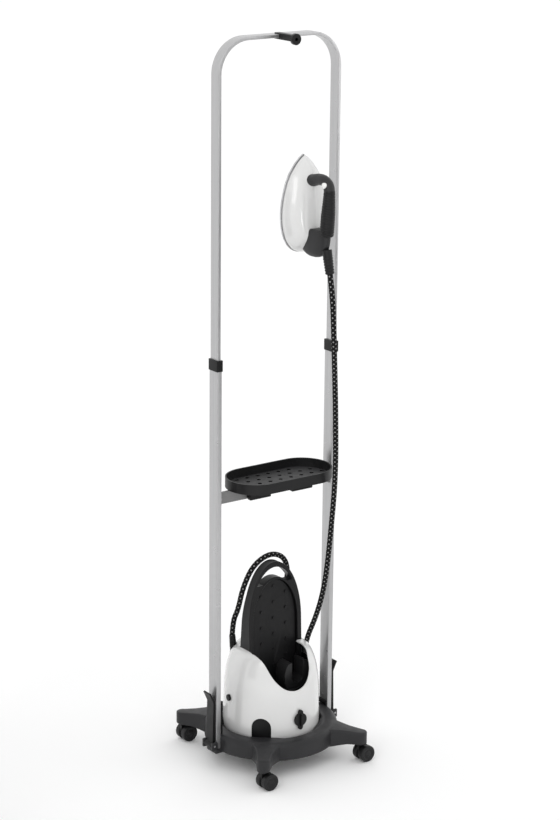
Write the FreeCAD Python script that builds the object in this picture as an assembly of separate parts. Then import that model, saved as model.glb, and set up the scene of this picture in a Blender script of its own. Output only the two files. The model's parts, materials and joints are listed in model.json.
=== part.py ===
import FreeCAD, Part
import math
import os

os.makedirs("parts", exist_ok=True)
V = FreeCAD.Vector

# Garment steamer. Millimetres, +Z up, origin on the floor under the middle of the base ring.
# -Y is the front, where the user stands; +X is the user's right.

# ---------------------------------------------------------------- driving dimensions
H = 1750.0                      # floor to top of the upper hoop
RING_R, RING_Z0, RING_Z1 = 162.0, 40.5, 88.0
RECESS_R, RECESS_Z = 124.0, 48.0
STEM_X, STEM_Y = 144.0, 172.0   # caster stems
ARM_R = 16.0                    # round end of each base arm
WHEEL_R, WHEEL_W, TRAIL = 20.5, 15.0, 11.0
POST_OUT, POST_T, POST_D = 172.0, 12.7, 33.3
POST_Z0, POST_Z1, POST_WALL, POST_R = 52.0, 1010.0, 1.5, 1.2
HOOP_OUT, HOOP_T, HOOP_D, HOOP_R = 170.1, 8.1, 30.0, 82.0
HOOP_Z0 = 860.0                 # lower end of the hoop's legs, inside the posts
BAR_Z0, BAR_Z1 = 664.5, 693.0   # crossbar
TRAY_L, TRAY_W, TRAY_X, TRAY_Y, TRAY_Z0, TRAY_Z1 = 280.0, 142.0, 8.0, -12.0, 695.0, 720.0
HOLE_DX, HOLE_DY, HOLE_R = 30.3, 26.0, 5.0      # round wells in the tray's floor
PAN_Z = 48.3                    # underside of the generator's feet
SHELL_T = 3.0
SHELL_RZ = [(113.0, 56.0), (117.5, 93.0), (116.8, 133.0), (115.0, 185.0), (112.4, 211.0),
            (107.6, 237.0), (100.0, 260.0), (95.0, 270.0), (88.0, 277.5), (79.0, 281.8), (70.0, 283.5)]
FRAME_A, FRAME_F, FRAME_B, FRAME_TOP, FRAME_C = 77.0, -22.0, 25.0, 491.0, 340.0
FRAME_LEAN = 2.2                # degrees the handle frame leans back
PANEL_A = 24.0                  # half-width of the access panel
PAD_A, PAD_TOP = 63.0, 445.0
HOSE_D = 13.0
IRON_X, SOLE_Y = 25.0, -66.0
IRON_HALF = [(0, 1485), (24, 1463), (43, 1434), (56, 1394), (61.5, 1352), (59, 1320),
             (50, 1291), (34, 1270), (15, 1260.5), (0, 1259)]
GAP = 0.3


# ---------------------------------------------------------------- helpers
def save(name, shape):
    shape.exportStep("parts/%s.step" % name)


def box(x0, x1, y0, y1, z0, z1):
    return Part.makeBox(x1 - x0, y1 - y0, z1 - z0, V(x0, y0, z0))


def cyl(r, h, pos, axis=V(0, 0, 1)):
    return Part.makeCylinder(r, h, V(*pos), axis)


def rounded(x0, x1, y0, y1, z0, z1, r):
    """Box with its four vertical edges rounded."""
    b = box(x0, x1, y0, y1, z0, z1)
    edges = [e for e in b.Edges if abs(e.Vertexes[0].Z - e.Vertexes[1].Z) > 1e-6]
    return b.makeFillet(r, edges)


def revolve(rz):
    """Solid turned about Z from an open list of (radius, z)."""
    pts = [V(0, 0, rz[0][1])] + [V(r, 0, z) for r, z in rz] + [V(0, 0, rz[-1][1])]
    clean = [p for i, p in enumerate(pts) if i == 0 or p.distanceToPoint(pts[i - 1]) > 1e-6]
    return Part.Face(Part.makePolygon(clean + [clean[0]])).revolve(V(), V(0, 0, 1), 360)


def smooth_turn(rz):
    """Solid turned about Z with a smooth curve through the (radius, z) points."""
    curve = Part.BSplineCurve()
    curve.interpolate([V(r, 0, z) for r, z in rz])
    z0, z1 = rz[0][1], rz[-1][1]
    wire = Part.Wire([Part.makeLine(V(0, 0, z0), V(rz[0][0], 0, z0)), curve.toShape(),
                      Part.makeLine(V(rz[-1][0], 0, z1), V(0, 0, z1)),
                      Part.makeLine(V(0, 0, z1), V(0, 0, z0))])
    return Part.Face(wire).revolve(V(), V(0, 0, 1), 360)


def prism(pts, y0, y1):
    """Polygon in the XZ plane given a depth in Y."""
    loop = [V(x, y0, z) for x, z in pts]
    return Part.Face(Part.makePolygon(loop + [loop[0]])).extrude(V(0, y1 - y0, 0))


def side_prism(pts, x0, x1):
    """Polygon of (y, z) given a width in X."""
    loop = [V(x0, y, z) for y, z in pts]
    return Part.Face(Part.makePolygon(loop + [loop[0]])).extrude(V(x1 - x0, 0, 0))


def arch(a, z0, zc, top, y0, y1):
    """Upright slab with straight sides and a half-ellipse top."""
    ell = Part.Ellipse(V(0, y0, top), V(a, y0, zc), V(0, y0, zc))
    curve = Part.ArcOfEllipse(ell, -math.pi / 2, math.pi / 2).toShape()
    p, q = curve.valueAt(curve.FirstParameter), curve.valueAt(curve.LastParameter)
    low_p, low_q = V(p.x, y0, z0), V(q.x, y0, z0)
    wire = Part.Wire([curve, Part.makeLine(q, low_q), Part.makeLine(low_q, low_p),
                      Part.makeLine(low_p, p)])
    return Part.Face(wire).extrude(V(0, y1 - y0, 0))


def stadium(length, width, z0, z1, cx, cy):
    """Flat-sided oval standing on z0."""
    r, s = width / 2, length / 2 - width / 2
    ends = [cyl(r, z1 - z0, (cx + x, cy, z0)) for x in (-s, s)]
    return ends[0].fuse([ends[1], box(cx - s, cx + s, cy - r, cy + r, z0, z1)]).removeSplitter()


def cone_between(p, q, r0, r1):
    d = V(*q) - V(*p)
    if abs(r0 - r1) < 1e-6:
        return Part.makeCylinder(r0, d.Length, V(*p), d)
    return Part.makeCone(r0, r1, d.Length, V(*p), d)


def rod(points, r):
    """Round rod along straight runs joined by tangent arcs."""
    pts = [V(*p) for p in points]
    edges, start = [], pts[0]
    for a, b, c in zip(pts, pts[1:], pts[2:]):
        u, w = (a - b), (c - b)
        cut = 0.45 * min(u.Length, w.Length)
        u.normalize(), w.normalize()
        s, e = b + u * cut, b + w * cut
        half = math.acos(max(-1.0, min(1.0, u.dot(w)))) / 2
        mid_dir = u + w
        mid_dir.normalize()
        radius = cut * math.tan(half)
        mid = b + mid_dir * (radius / math.sin(half) - radius)
        edges += [Part.makeLine(start, s), Part.Arc(s, mid, e).toShape()]
        start = e
    edges.append(Part.makeLine(start, pts[-1]))
    path = Part.Wire(edges)
    disc = Part.Wire(Part.makeCircle(r, pts[0], pts[1] - pts[0]))
    return path.makePipeShell([disc], True, False)


# ---------------------------------------------------------------- rolling base
def base_ring():
    """Dished ring with four tapering arms, post sockets and lever hinge blocks."""
    ring = revolve([(154.0, RING_Z0), (RING_R, RING_Z0 + 4), (RING_R, 80.0), (158.0, 86.0),
                    (150.0, RING_Z1), (130.0, RING_Z1), (RECESS_R + 1, 86.0)])
    reach = math.hypot(STEM_X, STEM_Y)
    arms = []
    for sx in (-1, 1):
        for sy in (-1, 1):
            sections = [(118.0, 46.0, 41.0, 86.0), (156.0, 34.0, 41.0, 86.0), (184.0, 21.5, 44.5, 82.5),
                        (205.0, 17.5, 46.2, 80.0), (reach, ARM_R, 46.2, 78.0)]
            loops = [[V(x, -w, z0), V(x, w, z0), V(x, w, z1), V(x, -w, z1), V(x, -w, z0)]
                     for x, w, z0, z1 in sections]
            arm = Part.makeLoft([Part.makePolygon(loop) for loop in loops], True, True)
            arm = arm.fuse(cyl(ARM_R, 31.8, (reach, 0, 46.2)))
            arm.rotate(V(), V(0, 0, 1), math.degrees(math.atan2(sy * STEM_Y, sx * STEM_X)))
            arms.append(arm)
    blocks = []
    for s in (-1, 1):
        xs = sorted((s * 146.0, s * 173.5))
        blocks.append(rounded(xs[0], xs[1], -23, 23, RING_Z0, 80, 4))
        ear = sorted((s * 170.0, s * 188.0))
        for y0 in (-22.0, 15.0):
            blocks.append(box(ear[0], ear[1], y0, y0 + 7, 50, 72))
    body = ring.fuse(arms + blocks)
    body = body.cut(cyl(RECESS_R, 80, (0, 0, RECESS_Z)))
    cuts = []
    for s in (-1, 1):
        xs = sorted((s * POST_OUT, s * (POST_OUT - POST_T)))
        cuts.append(rounded(xs[0], xs[1], -POST_D / 2, POST_D / 2, POST_Z0, 120, POST_R))
        cuts.append(cyl(2.5, 60, (s * 180.5, -30, 63), V(0, 1, 0)))
        for sy in (-1, 1):
            cuts.append(cyl(5.05, 40, (s * STEM_X, sy * STEM_Y, 40)).cut(
                box(-400, 400, -400, 400, 74, 90)))
    return body.cut(Part.makeCompound(cuts)).removeSplitter()


def caster(sx, sy):
    """Fork with stem, axle and a pair of wheels, trailing towards +X."""
    x, y = sx * STEM_X, sy * STEM_Y
    ax = x + TRAIL
    fork = cyl(17.0, 6.0, (ax, y - 3, WHEEL_R), V(0, 1, 0))
    fork = fork.fuse([box(x - 6, x + 8, y - 3, y + 3, 24, 43), cyl(9.0, 2.6, (x, y, 43)),
                      cyl(5.0, 26.0, (x, y, 45.6))])
    fork = fork.cut(cyl(3.05, 10, (ax, y - 5, WHEEL_R), V(0, 1, 0)))
    axle = cyl(3.0, 34.0, (ax, y - 17, WHEEL_R), V(0, 1, 0))
    wheels = []
    for s in (-1, 1):
        y0 = y + s * 4.0 - (WHEEL_W if s < 0 else 0)
        w = cyl(WHEEL_R, WHEEL_W, (ax, y0, WHEEL_R), V(0, 1, 0))
        w = w.makeFillet(3.0, [e for e in w.Edges if e.Curve.TypeId == "Part::GeomCircle"])
        bore0 = y + (4.0 if s > 0 else -17.0)
        wheels.append(w.cut(cyl(3.0, 13.0, (ax, bore0, WHEEL_R), V(0, 1, 0))))
    return fork, axle, Part.makeCompound(wheels)


def lever(s):
    """Foot lever lying flat against the outside of a post, flared at its tip."""
    eye = cyl(7.0, 28.0, (s * 180.5, -14, 63), V(0, 1, 0))
    blade = prism([(s * 174.5, 66), (s * 181.5, 66), (s * 179.0, 172), (s * 190.0, 196),
                   (s * 186.0, 198), (s * 174.5, 176)], -14, 14)
    return eye.fuse(blade).cut(cyl(2.55, 60, (s * 180.5, -30, 63), V(0, 1, 0))).removeSplitter()


def lever_pin(s):
    return cyl(2.5, 45.0, (s * 180.5, -22.5, 63), V(0, 1, 0))


def guard(s):
    """Thin upright plate on the inner side of a post socket."""
    xs = sorted((s * 154.0, s * 158.8))
    top = 99.0 if s > 0 else 172.0
    plate = box(xs[0], xs[1], -17, 17, RING_Z1, top)
    return plate


# ---------------------------------------------------------------- posts, hoop and tray
def post(s):
    xs = sorted((s * POST_OUT, s * (POST_OUT - POST_T)))
    d = POST_D / 2
    outer = rounded(xs[0], xs[1], -d, d, POST_Z0, POST_Z1, POST_R)
    w = POST_WALL
    return outer.cut(rounded(xs[0] + w, xs[1] - w, -d + w, d - w, POST_Z0 + 10, POST_Z1 + 1, 1.0))


def collar(s):
    """Plastic end collar round the top of a post, with the hoop's leg passing through."""
    xs = sorted((s * (POST_OUT + 2), s * (POST_OUT - POST_T - 2)))
    body = rounded(xs[0], xs[1], -POST_D / 2 - 2, POST_D / 2 + 2, 990, 1016, 2.5)
    ps = sorted((s * POST_OUT, s * (POST_OUT - POST_T)))
    body = body.cut(rounded(ps[0], ps[1], -POST_D / 2, POST_D / 2, 980, POST_Z1, POST_R))
    ls = sorted((s * (HOOP_OUT + 0.35), s * (HOOP_OUT - HOOP_T - 0.35)))
    return body.cut(rounded(ls[0], ls[1], -15.35, 15.35, 1000, 1020, 0.8))


def flat_bar(r_out, t, d, z_low, top):
    """Solid inverted U of flat section: outer half-width r_out, thickness t, depth d."""
    rc = HOOP_R - (HOOP_OUT - r_out)
    zc = top - rc
    parts = []
    for s in (-1, 1):
        xs = sorted((s * r_out, s * (r_out - t)))
        parts.append(box(xs[0], xs[1], -d / 2, d / 2, z_low, zc))
        bend = cyl(rc, d, (s * (r_out - rc), -d / 2, zc), V(0, 1, 0))
        bend = bend.cut(cyl(rc - t, d, (s * (r_out - rc), -d / 2, zc), V(0, 1, 0)))
        cx = sorted((s * (r_out - rc), s * (r_out + 1)))
        parts.append(bend.common(box(cx[0], cx[1], -d, d, zc, top + 1)))
    parts.append(box(-(r_out - rc), r_out - rc, -d / 2, d / 2, top - t, top))
    return parts[0].fuse(parts[1:]).removeSplitter()


def hoop():
    outer = flat_bar(HOOP_OUT, HOOP_T, HOOP_D, HOOP_Z0, H)
    long_edges = [e for e in outer.Edges if abs(abs(e.CenterOfMass.y) - HOOP_D / 2) < 1e-3
                  and e.Length > HOOP_T + 1]
    outer = outer.makeFillet(0.9, long_edges)
    return outer.cut(flat_bar(HOOP_OUT - 1.3, HOOP_T - 2.6, HOOP_D - 5.0, HOOP_Z0 - 1, H - 1.3))


def peg():
    """Clip over the middle of the hoop with an arm to the front and a round end collar."""
    arm = box(-7, 7, -66, 2, 1738.6, 1752.6)
    collar_end = cyl(12.8, 7.0, (0, -73, 1744.0), V(0, 1, 0))
    flare = Part.makeCone(7.5, 12.8, 7.0, V(0, -59, 1744.0), V(0, -1, 0))
    body = arm.fuse([collar_end, flare])
    body = body.cut(box(-8, 8, -HOOP_D / 2, 20, H - HOOP_T, H))
    return body.cut(cyl(4.0, 30, (0, -73, 1744.0), V(0, 1, 0))).removeSplitter()


def crossbar():
    """Flat bar between the posts with an end tab against each."""
    x = POST_OUT - POST_T
    bar = box(-x, x, -3, 3, BAR_Z0, BAR_Z1)
    tabs = [box(min(s * x, s * (x - 3)), max(s * x, s * (x - 3)), -12, 12, BAR_Z0, BAR_Z1)
            for s in (-1, 1)]
    bar = bar.fuse(tabs)
    return bar.cut(Part.makeCompound(screw_rods(2.0))).removeSplitter()


def screw_rods(r):
    x = POST_OUT - POST_T
    return [cyl(r, 4.5, (s * x - (3.0 if s > 0 else 1.5), y, 678.7), V(1, 0, 0))
            for s in (-1, 1) for y in (-8.0, 8.0)]


def crossbar_screws():
    x = POST_OUT - POST_T
    heads = [cyl(3.4, 1.8, (s * (x - 3.0) - (1.8 if s > 0 else 0), y, 678.7), V(1, 0, 0))
             for s in (-1, 1) for y in (-8.0, 8.0)]
    return Part.makeCompound([h.fuse(r) for h, r in zip(heads, screw_rods(2.0))])


def tray():
    """Oval tray with a raised rim and staggered rows of round wells in its floor."""
    outer = stadium(TRAY_L, TRAY_W, TRAY_Z0, TRAY_Z1, TRAY_X, TRAY_Y)
    inner = stadium(TRAY_L - 7, TRAY_W - 7, TRAY_Z0 + 3, TRAY_Z1 + 1, TRAY_X, TRAY_Y)
    holes = []
    for row in range(-2, 3):
        y = TRAY_Y + 3 + row * HOLE_DY
        for col in range(-5, 6):
            x = TRAY_X + 7.5 + (col + 0.5 * (row % 2)) * HOLE_DX
            if math.hypot(max(abs(x - TRAY_X) - 69, 0), y - TRAY_Y) < 60:
                holes.append(cyl(HOLE_R, 6, (x, y, TRAY_Z0 + 0.6)))
    return outer.cut(inner).cut(Part.makeCompound(holes))


def tray_clips():
    """Two hooks under the tray that drop over the crossbar."""
    profile = [(-18, 694.9), (9, 694.9), (9, 672), (5, 672), (5, 693.6), (-5, 693.6),
               (-5, 663), (-18, 663)]
    return Part.makeCompound([side_prism(profile, x - 30, x + 30)
                              for x in (TRAY_X - 56, TRAY_X + 66)])


# ---------------------------------------------------------------- steam generator
def shell_cutter(drop=0.0):
    """The S-shaped scoop out of the shell's front, open to the top."""
    edge = [(-84, 300), (-80, 286), (-72, 268), (-63, 238), (-52, 219), (-36, 204), (-16, 197),
            (4, 198), (24, 207), (39, 224), (47, 245), (49, 264), (56, 280), (68, 294), (76, 306)]
    curve = Part.BSplineCurve()
    curve.interpolate([V(x, -140, z - drop) for x, z in edge])
    a, b = V(-84, -140, 300 - drop), V(76, -140, 306 - drop)
    wire = Part.Wire([curve.toShape(), Part.makeLine(b, V(76, -140, 340)),
                      Part.makeLine(V(76, -140, 340), V(-84, -140, 340)),
                      Part.makeLine(V(-84, -140, 340), a)])
    return Part.Face(wire).extrude(V(0, 140 + FRAME_F - 0.3, 0))


def inset(rz, t):
    return [(r - t, z) for r, z in rz]


def generator_shell():
    outer = smooth_turn(SHELL_RZ)
    inner_rz = inset(SHELL_RZ[:-3], SHELL_T) + [(85.0, 275.8), (77.0, 279.2), (67.0, 280.3)]
    inner = smooth_turn([(110.0, 55.0)] + inner_rz[1:])
    body = outer.cut(inner).cut(shell_cutter())
    pocket = box(-FRAME_A - 0.4, FRAME_A + 0.4, FRAME_F - 0.4, FRAME_B + 0.4, 150, 330)
    body = body.cut(pocket)
    body = body.cut(cyl(8.3, 30, (0, -120, 125), V(0, 1, 0)).fuse(
        Part.makeCylinder(8.3, 30, V(-125, 13, 163), V(1, -0.1, 0))))
    body = body.cut(panel_solid(0.0)).cut(cone_between(BOOT_N, BOOT_B, 10.4, 10.4))
    body = body.cut(cyl(11.0, 30, (38, 95, 118), V(0, 1, 0)))
    return max(body.removeSplitter().Solids, key=lambda s: s.Volume)


def panel_solid(grow):
    """Block at the shell's front left that the arched access panel fills."""
    ang, a = math.radians(-137.0), PANEL_A + grow
    pts = [(-a, 60), (a, 60)] + [(a * math.cos(t), 109 + a * math.sin(t))
                                 for t in [math.pi * k / 12 for k in range(13)]]
    slab = prism(pts, 0, 40)
    slab.rotate(V(), V(0, 0, 1), math.degrees(ang) - 90)
    slab.translate(V(math.cos(ang) * 128, math.sin(ang) * 128, 0))
    side = V(math.cos(ang), math.sin(ang), 0)
    if side.dot(slab.CenterOfMass - V(side.x * 128, side.y * 128, slab.CenterOfMass.z)) > 0:
        slab.translate(side * -40)
    return slab


def front_panel():
    wall = smooth_turn([(r + 0.8, z) for r, z in SHELL_RZ[:4]])
    wall = wall.cut(smooth_turn([(r - 2.6, z) for r, z in [(113.0, 55.0)] + SHELL_RZ[1:4]]))
    return wall.common(panel_solid(-0.3))


def base_pan():
    """Floor of the generator with a low wall inside the shell."""
    pan = cyl(109.0, 4.0, (0, 0, 52.0)).fuse(cyl(106.0, 14.0, (0, 0, 52.0)))
    pan = pan.cut(cyl(103.0, 14.0, (0, 0, 56.0)))
    return pan


def feet():
    return Part.makeCompound([cyl(9.0, 52.0 - PAN_Z, (80 * math.cos(a), 80 * math.sin(a), PAN_Z))
                              for a in [math.pi * (0.25 + 0.5 * k) for k in range(4)]])


def inner_liner():
    """Black tub that lines the scoop: floor and a wall just inside the shell."""
    tub = cyl(103.0, 58.0, (0, 0, 172.0)).cut(cyl(100.5, 58.0, (0, 0, 175.0)))
    return max(tub.cut(shell_cutter(1.0)).Solids, key=lambda s: s.Volume)


def lean_back(shape):
    shape.rotate(V(0, FRAME_B, 175.2), V(1, 0, 0), -FRAME_LEAN)
    return shape


def handle_frame():
    """Tall arched frame with a recess for the rest pad and a grip hole at its top."""
    body = arch(FRAME_A, 175.2, FRAME_C, FRAME_TOP, FRAME_F, FRAME_B)
    thin = side_prism([(4, 415), (22, 255), (FRAME_B + 1, 255), (FRAME_B + 1, 520), (4, 520)], -90, 90)
    recess = arch(PAD_A + 2, 170, 340, PAD_TOP + 2, FRAME_F - 1, -9.0)
    hollow = arch(60.0, 190, FRAME_C, 438, -5.0, FRAME_B + 1).fuse(
        box(-71, 71, 6, FRAME_B + 1, 190, 340))
    grip = arch(73.0, 300, FRAME_C, 478, FRAME_F - 1, FRAME_B + 1).common(
        box(-90, 90, -60, 60, 438, 520))
    grip = grip.cut(arch(PAD_A + 5, 300, 340, PAD_TOP + 8, FRAME_F - 2, FRAME_B + 2))
    return lean_back(body.cut(thin).cut(recess).cut(hollow).cut(grip).removeSplitter())


def rest_pad():
    """Heat-proof pad with raised studs; the hot iron leans on it."""
    pad = arch(PAD_A, 180, 340, PAD_TOP, -14.0, -9.0)
    studs = [cyl(4.2, 3.0, (x, -16.5, z + 40 * k), V(0, 1, 0))
             for x, z, count in ((-36, 248, 5), (0, 228, 6), (36, 248, 5)) for k in range(count)]
    return lean_back(pad.fuse(studs).removeSplitter())


def heel_cradle():
    """U-shaped holder with two horns that takes the parked iron's heel."""
    base = rounded(-16, 54, -82, -23, 175.2, 186, 8)
    horns = prism([(IRON_X + sx * x, z) for sx, side in ((-1, 1), (1, -1)) for x, z in
                   [(30, 184), (37, 204), (38, 224), (34, 241), (27, 251), (21, 252)][::side]],
                  -74, -36)
    slot = box(IRON_X - 16.5, IRON_X + 16.5, -90, -20, 216, 260).fuse(
        cyl(16.5, 70, (IRON_X, -90, 216), V(0, 1, 0)))
    return base.fuse(horns.cut(slot)).removeSplitter()


def drain_cap():
    """Bayonet cap with a lug above and below; its spigot runs in a hole in the shell."""
    y = -118.6
    cap = cyl(16.8, 6.0, (0, y - 6, 125), V(0, 1, 0))
    lugs = [cyl(6.0, 6.0, (0, y - 6, 125 + z), V(0, 1, 0)) for z in (-19, 19)]
    grip = box(-2.6, 2.6, y - 11, y - 5, 110, 140)
    return cap.fuse(lugs + [box(-6, 6, y - 6, y, 106, 144), grip,
                            cyl(8.0, 14.0, (0, y - 1, 125), V(0, 1, 0))]).removeSplitter()


def side_button():
    d = V(1, -0.1, 0)
    d.normalize()
    return Part.makeCylinder(8.0, 14.0, V(-120.5, 12.55, 163), d)


def boiler():
    b = cyl(42.0, 74.0, (-48, 40, 70))
    return b.makeFillet(8.0, b.Edges).fuse(cyl(6.0, 14, (-48, 40, 140))).removeSplitter()


def water_tank():
    t = rounded(8, 92, -38, 32, 68, 160, 12)
    return t.cut(rounded(11, 89, -35, 29, 71, 157, 9))


def pump():
    return cyl(14.0, 40.0, (22, 64, 80), V(1, 0, 0)).fuse(box(26, 58, 52, 74, 56.2, 61)).fuse(
        box(36, 48, 58, 70, 60, 80)).removeSplitter()


def control_board():
    board = box(-88, -86.4, -40, -8, 80, 130)
    return board.fuse([box(-86.4, -78, -34, -22, 90, 104), box(-86.4, -80, -18, -10, 108, 118)])


BOOT_N, BOOT_B = (-66.0, 64.0, 240.0), (-78.0, 55.0, 303.0)


def outlet_boot():
    """Ribbed strain relief where the steam hose leaves the generator."""
    n, b = V(*BOOT_N), V(*BOOT_B)
    d = b - n
    a = n + d * 0.5
    ribs = [Part.makeCylinder(10.2 - 0.3 * k, 2.6, n + d * (0.56 + 0.085 * k), d) for k in range(5)]
    return cone_between(BOOT_N, tuple(a), 9.5, 9.5).fuse(
        [cone_between(tuple(a), BOOT_B, 9.4, 7.8)] + ribs).removeSplitter()


def mains_inlet():
    """Round gland for the mains lead, low on the generator's back."""
    y = 104.0
    g = cyl(10.7, 14.0, (38, y, 118), V(0, 1, 0)).fuse(cyl(6.5, 16.0, (38, y + 13, 118), V(0, 1, 0)))
    return g.cut(cyl(4.0, 12.0, (38, y + 18, 118), V(0, 1, 0))).removeSplitter()


# ---------------------------------------------------------------- iron and hose
def iron_outline(scale, y, zc=1345.0):
    pts = [(IRON_X + x * scale, zc + (z - zc) * scale) for x, z in IRON_HALF]
    mirror = [(2 * IRON_X - x, z) for x, z in pts]
    right, left = Part.BSplineCurve(), Part.BSplineCurve()
    right.interpolate([V(x, y, z) for x, z in pts])
    left.interpolate([V(x, y, z) for x, z in reversed(mirror)])
    return Part.Wire([right.toShape(), left.toShape()])


def iron_slab(scale, y0, y1):
    return Part.Face(iron_outline(scale, y0)).extrude(V(0, y1 - y0, 0))


def soleplate():
    return iron_slab(1.0, SOLE_Y, SOLE_Y - 4.5)


def heater_block():
    return iron_slab(0.96, SOLE_Y - 4.5, SOLE_Y - 8.0)


HEEL_YZ = [(-80, 1263), (-122, 1257), (-146, 1261), (-161, 1273), (-169, 1290), (-172, 1318),
           (-146, 1323), (-100, 1316), (-80, 1316)]
HEEL_PLAN = [(-80, 19.0), (-122, 19.0), (-150, 16.5), (-173, 12.5)]


def heel_block():
    side = side_prism(HEEL_YZ, IRON_X - 20, IRON_X + 20)
    loop = [V(IRON_X + w, y, 1250) for y, w in HEEL_PLAN]
    loop += [V(IRON_X - w, y, 1250) for y, w in reversed(HEEL_PLAN)]
    plan = Part.Face(Part.makePolygon(loop + [loop[0]])).extrude(V(0, 0, 80))
    return side.common(plan)


def iron_dome():
    sections = [(0.985, -8.0, 1345), (0.965, -15.0, 1344), (0.86, -28.0, 1339),
                (0.66, -41.0, 1331), (0.40, -51.0, 1322)]
    return Part.makeLoft([iron_outline(k, SOLE_Y + dy, zc) for k, dy, zc in sections], True, False)


def iron_shell():
    dome = iron_dome()
    return dome.cut(heel_block()).cut(handle_rod()).removeSplitter()


def iron_heel():
    body = heel_block().cut(iron_slab(1.02, SOLE_Y + 1, SOLE_Y - 8.0))
    body = body.cut(grip_solid()).cut(boot_solid())
    return max(body.Solids, key=lambda s: s.Volume)


HANDLE = [(IRON_X, -96, 1427), (IRON_X, -138, 1438), (IRON_X, -162, 1433.5), (IRON_X, -170, 1423.5),
          (IRON_X, -170, 1412.2)]


def handle_rod():
    return rod(HANDLE, 13.0)


def trigger_solid(r, length):
    """Round push button in the left side of the handle's bend."""
    return Part.makeCylinder(r, length, V(8.5, -166.5, 1428.0), V(1, 0, 0))


def iron_handle():
    return handle_rod().cut(trigger_solid(6.95, 15.5)).removeSplitter()


def grip_solid():
    rings = [(1412.0, -170.0, 13.0), (1377, -168, 15.2), (1349, -165.5, 16.4), (1312, -163, 16.2)]
    wires = [Part.Wire(Part.makeCircle(r, V(IRON_X, y, z))) for z, y, r in rings]
    return Part.makeLoft(wires, True, False)


def handle_grip():
    return grip_solid()


IRON_BOOT_A, IRON_BOOT_B = (IRON_X, -164.0, 1280.0), (IRON_X, -177.0, 1226.0)


def boot_solid():
    return cone_between(IRON_BOOT_A, IRON_BOOT_B, 11.4, 10.2)


def iron_boot():
    a, b = V(*IRON_BOOT_A), V(*IRON_BOOT_B)
    ribs = [Part.makeCylinder(11.6 - 0.2 * k, 3.0, a + (b - a) * (0.42 + 0.12 * k), b - a)
            for k in range(5)]
    return boot_solid().fuse(ribs).removeSplitter()


# The route's corners; the hose runs straight between them and turns in an arc at each.
HOSE = [BOOT_B, (-82, 46, 344), (-77, 32, 374), (-68, 26, 430), (-38, 26, 482), (14, 26, 504),
        (64, 32, 478), (82, 48, 412), (76, 84, 350), (68, 120, 290), (60, 146, 228),
        (64, 150, 158), (104, 106, 122), (134, 52, 150), (116, 22, 250), (123, -20, 340),
        (126, -46, 430), (117, -76, 570), (110, -100, 715), (80, -135, 880), (51, -166, 1005),
        (31, -187, 1095), (25, -188.5, 1178), (IRON_X, -177.1, 1225.6)]


def arc_radii(points):
    """Radius of the arc at each corner of a rod's route."""
    radii = []
    for a, b, c in zip(points, points[1:], points[2:]):
        u, w = V(*a) - V(*b), V(*c) - V(*b)
        radii.append(0.45 * min(u.Length, w.Length) * math.tan(u.getAngle(w) / 2))
    return radii


def steam_hose():
    hose = rod(HOSE, HOSE_D / 2)
    print("hose arc radii, mm:", [round(r) for r in arc_radii(HOSE)])
    print("hose length, mm:", round(hose.Volume / (math.pi * HOSE_D ** 2 / 4)))
    return hose


# ---------------------------------------------------------------- build
save("base_ring", base_ring())
for name, sx, sy in (("fl", -1, -1), ("fr", 1, -1), ("rl", -1, 1), ("rr", 1, 1)):
    fork, axle, wheels = caster(sx, sy)
    save("caster_fork_" + name, fork)
    save("caster_axle_" + name, axle)
    save("caster_wheels_" + name, wheels)
for name, s in (("left", -1), ("right", 1)):
    save("post_" + name, post(s))
    save("post_collar_" + name, collar(s))
    save("foot_lever_" + name, lever(s))
    save("lever_pin_" + name, lever_pin(s))
    save("guard_plate_" + name, guard(s))
save("upper_hoop", hoop())
save("hanger_peg", peg())
save("crossbar", crossbar())
save("crossbar_screws", crossbar_screws())
save("tray", tray())
save("tray_clips", tray_clips())
save("generator_shell", generator_shell())
save("front_panel", front_panel())
save("base_pan", base_pan())
save("rubber_feet", feet())
save("inner_liner", inner_liner())
save("handle_frame", handle_frame())
save("rest_pad", rest_pad())
save("heel_cradle", heel_cradle())
save("drain_cap", drain_cap())
save("side_button", side_button())
save("boiler", boiler())
save("water_tank", water_tank())
save("pump", pump())
save("control_board", control_board())
save("outlet_boot", outlet_boot())
save("mains_inlet", mains_inlet())
save("soleplate", soleplate())
save("heater_block", heater_block())
save("iron_shell", iron_shell())
save("iron_heel", iron_heel())
save("iron_handle", iron_handle())
save("handle_grip", handle_grip())
save("steam_trigger", trigger_solid(6.6, 12.0))
save("iron_boot", iron_boot())
save("steam_hose", steam_hose())
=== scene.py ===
import json
import math

import bmesh
import bpy
import numpy as np
from mathutils import Matrix, Vector


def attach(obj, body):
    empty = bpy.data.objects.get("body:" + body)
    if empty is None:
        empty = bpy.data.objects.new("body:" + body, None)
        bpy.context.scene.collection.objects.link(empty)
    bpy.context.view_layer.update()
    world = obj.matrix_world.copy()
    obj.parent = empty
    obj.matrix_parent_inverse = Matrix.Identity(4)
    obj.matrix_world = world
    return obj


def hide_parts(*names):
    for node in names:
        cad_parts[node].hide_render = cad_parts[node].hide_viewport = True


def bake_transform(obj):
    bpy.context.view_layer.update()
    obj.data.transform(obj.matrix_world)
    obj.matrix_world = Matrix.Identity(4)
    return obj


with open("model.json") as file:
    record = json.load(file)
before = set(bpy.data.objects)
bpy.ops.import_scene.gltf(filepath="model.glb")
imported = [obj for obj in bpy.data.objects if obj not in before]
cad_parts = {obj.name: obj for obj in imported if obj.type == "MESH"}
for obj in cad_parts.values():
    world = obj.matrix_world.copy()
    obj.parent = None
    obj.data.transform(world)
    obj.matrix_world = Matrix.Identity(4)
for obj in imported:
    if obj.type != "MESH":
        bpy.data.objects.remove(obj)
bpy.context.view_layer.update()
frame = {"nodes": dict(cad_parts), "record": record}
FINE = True
FLECK_PITCH = 0.0118           # length of one diamond of the hose's braid


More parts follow.
